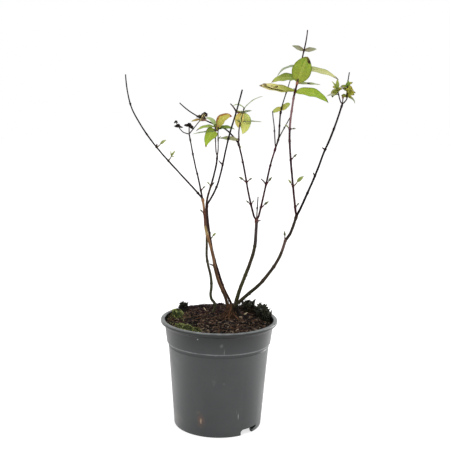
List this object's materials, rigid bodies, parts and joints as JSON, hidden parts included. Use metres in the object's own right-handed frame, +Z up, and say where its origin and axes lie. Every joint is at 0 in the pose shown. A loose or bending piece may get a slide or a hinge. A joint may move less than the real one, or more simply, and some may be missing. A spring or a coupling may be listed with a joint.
{
  "type": "potted tutsan",
  "caption": "Leggy, nearly leafless tutsan shrub with dark stems, young leaves and dry seed heads in a round nursery pot",
  "frame": {"origin": "middle of the flat underside of the pot, on the surface that the pot stands on", "axes": "+Z up along the plant, +X to the right and +Y away from the viewer, seen from the front of the plant"},
  "size_m": [0.3072, 0.179, 0.5728],
  "materials": {
    "pot_plastic": "moulded dark grey nursery pot plastic, faint sheen, scuffs and a dried water stain",
    "soil": "damp dark brown peat and bark compost, crumbly",
    "moss": "fine bright green cushion moss",
    "litter": "blackened liverwort, moss and withered leaves",
    "old_bark": "olive brown bark with fine lengthwise fissures",
    "peeling_bark": "tan orange bark peeling in thin strips",
    "young_bark": "smooth dark wine red bark with swollen leaf joints",
    "dead_wood": "weathered grey dead twig",
    "leaf": "thin yellow green leaf, soft sheen, pale veins, brown spots and edges",
    "seed_head": "dry near black capsules and sepals"
  },
  "bodies": {
    "root": {"pot": "pot_plastic", "potting_soil": "soil", "moss_left": "moss", "moss_front": "moss", "litter_left": "litter", "moss_hump": "litter", "litter_tuft": "litter", "root_crown": "old_bark", "stem_a": "old_bark", "stem_b": "peeling_bark", "stem_c": "old_bark", "stem_d": "old_bark", "stem_e": "old_bark", "bough_b_left": "young_bark", "bough_b_right": "young_bark", "bough_c": "young_bark", "bough_d_left": "young_bark", "bough_d_arch": "young_bark", "bough_d_right": "young_bark", "bough_d_right_top": "young_bark", "twig_d_right": "young_bark", "snag_d_right": "dead_wood", "snag_d": "dead_wood", "bough_e_left": "young_bark", "bough_e_right": "young_bark", "leaves_a": "leaf", "seed_heads_b": "seed_head", "leaves_d_left": "leaf", "leaves_d_right": "leaf", "leaves_e_left": "leaf", "leaves_e_right": "leaf"}
  },
  "joints": []
}
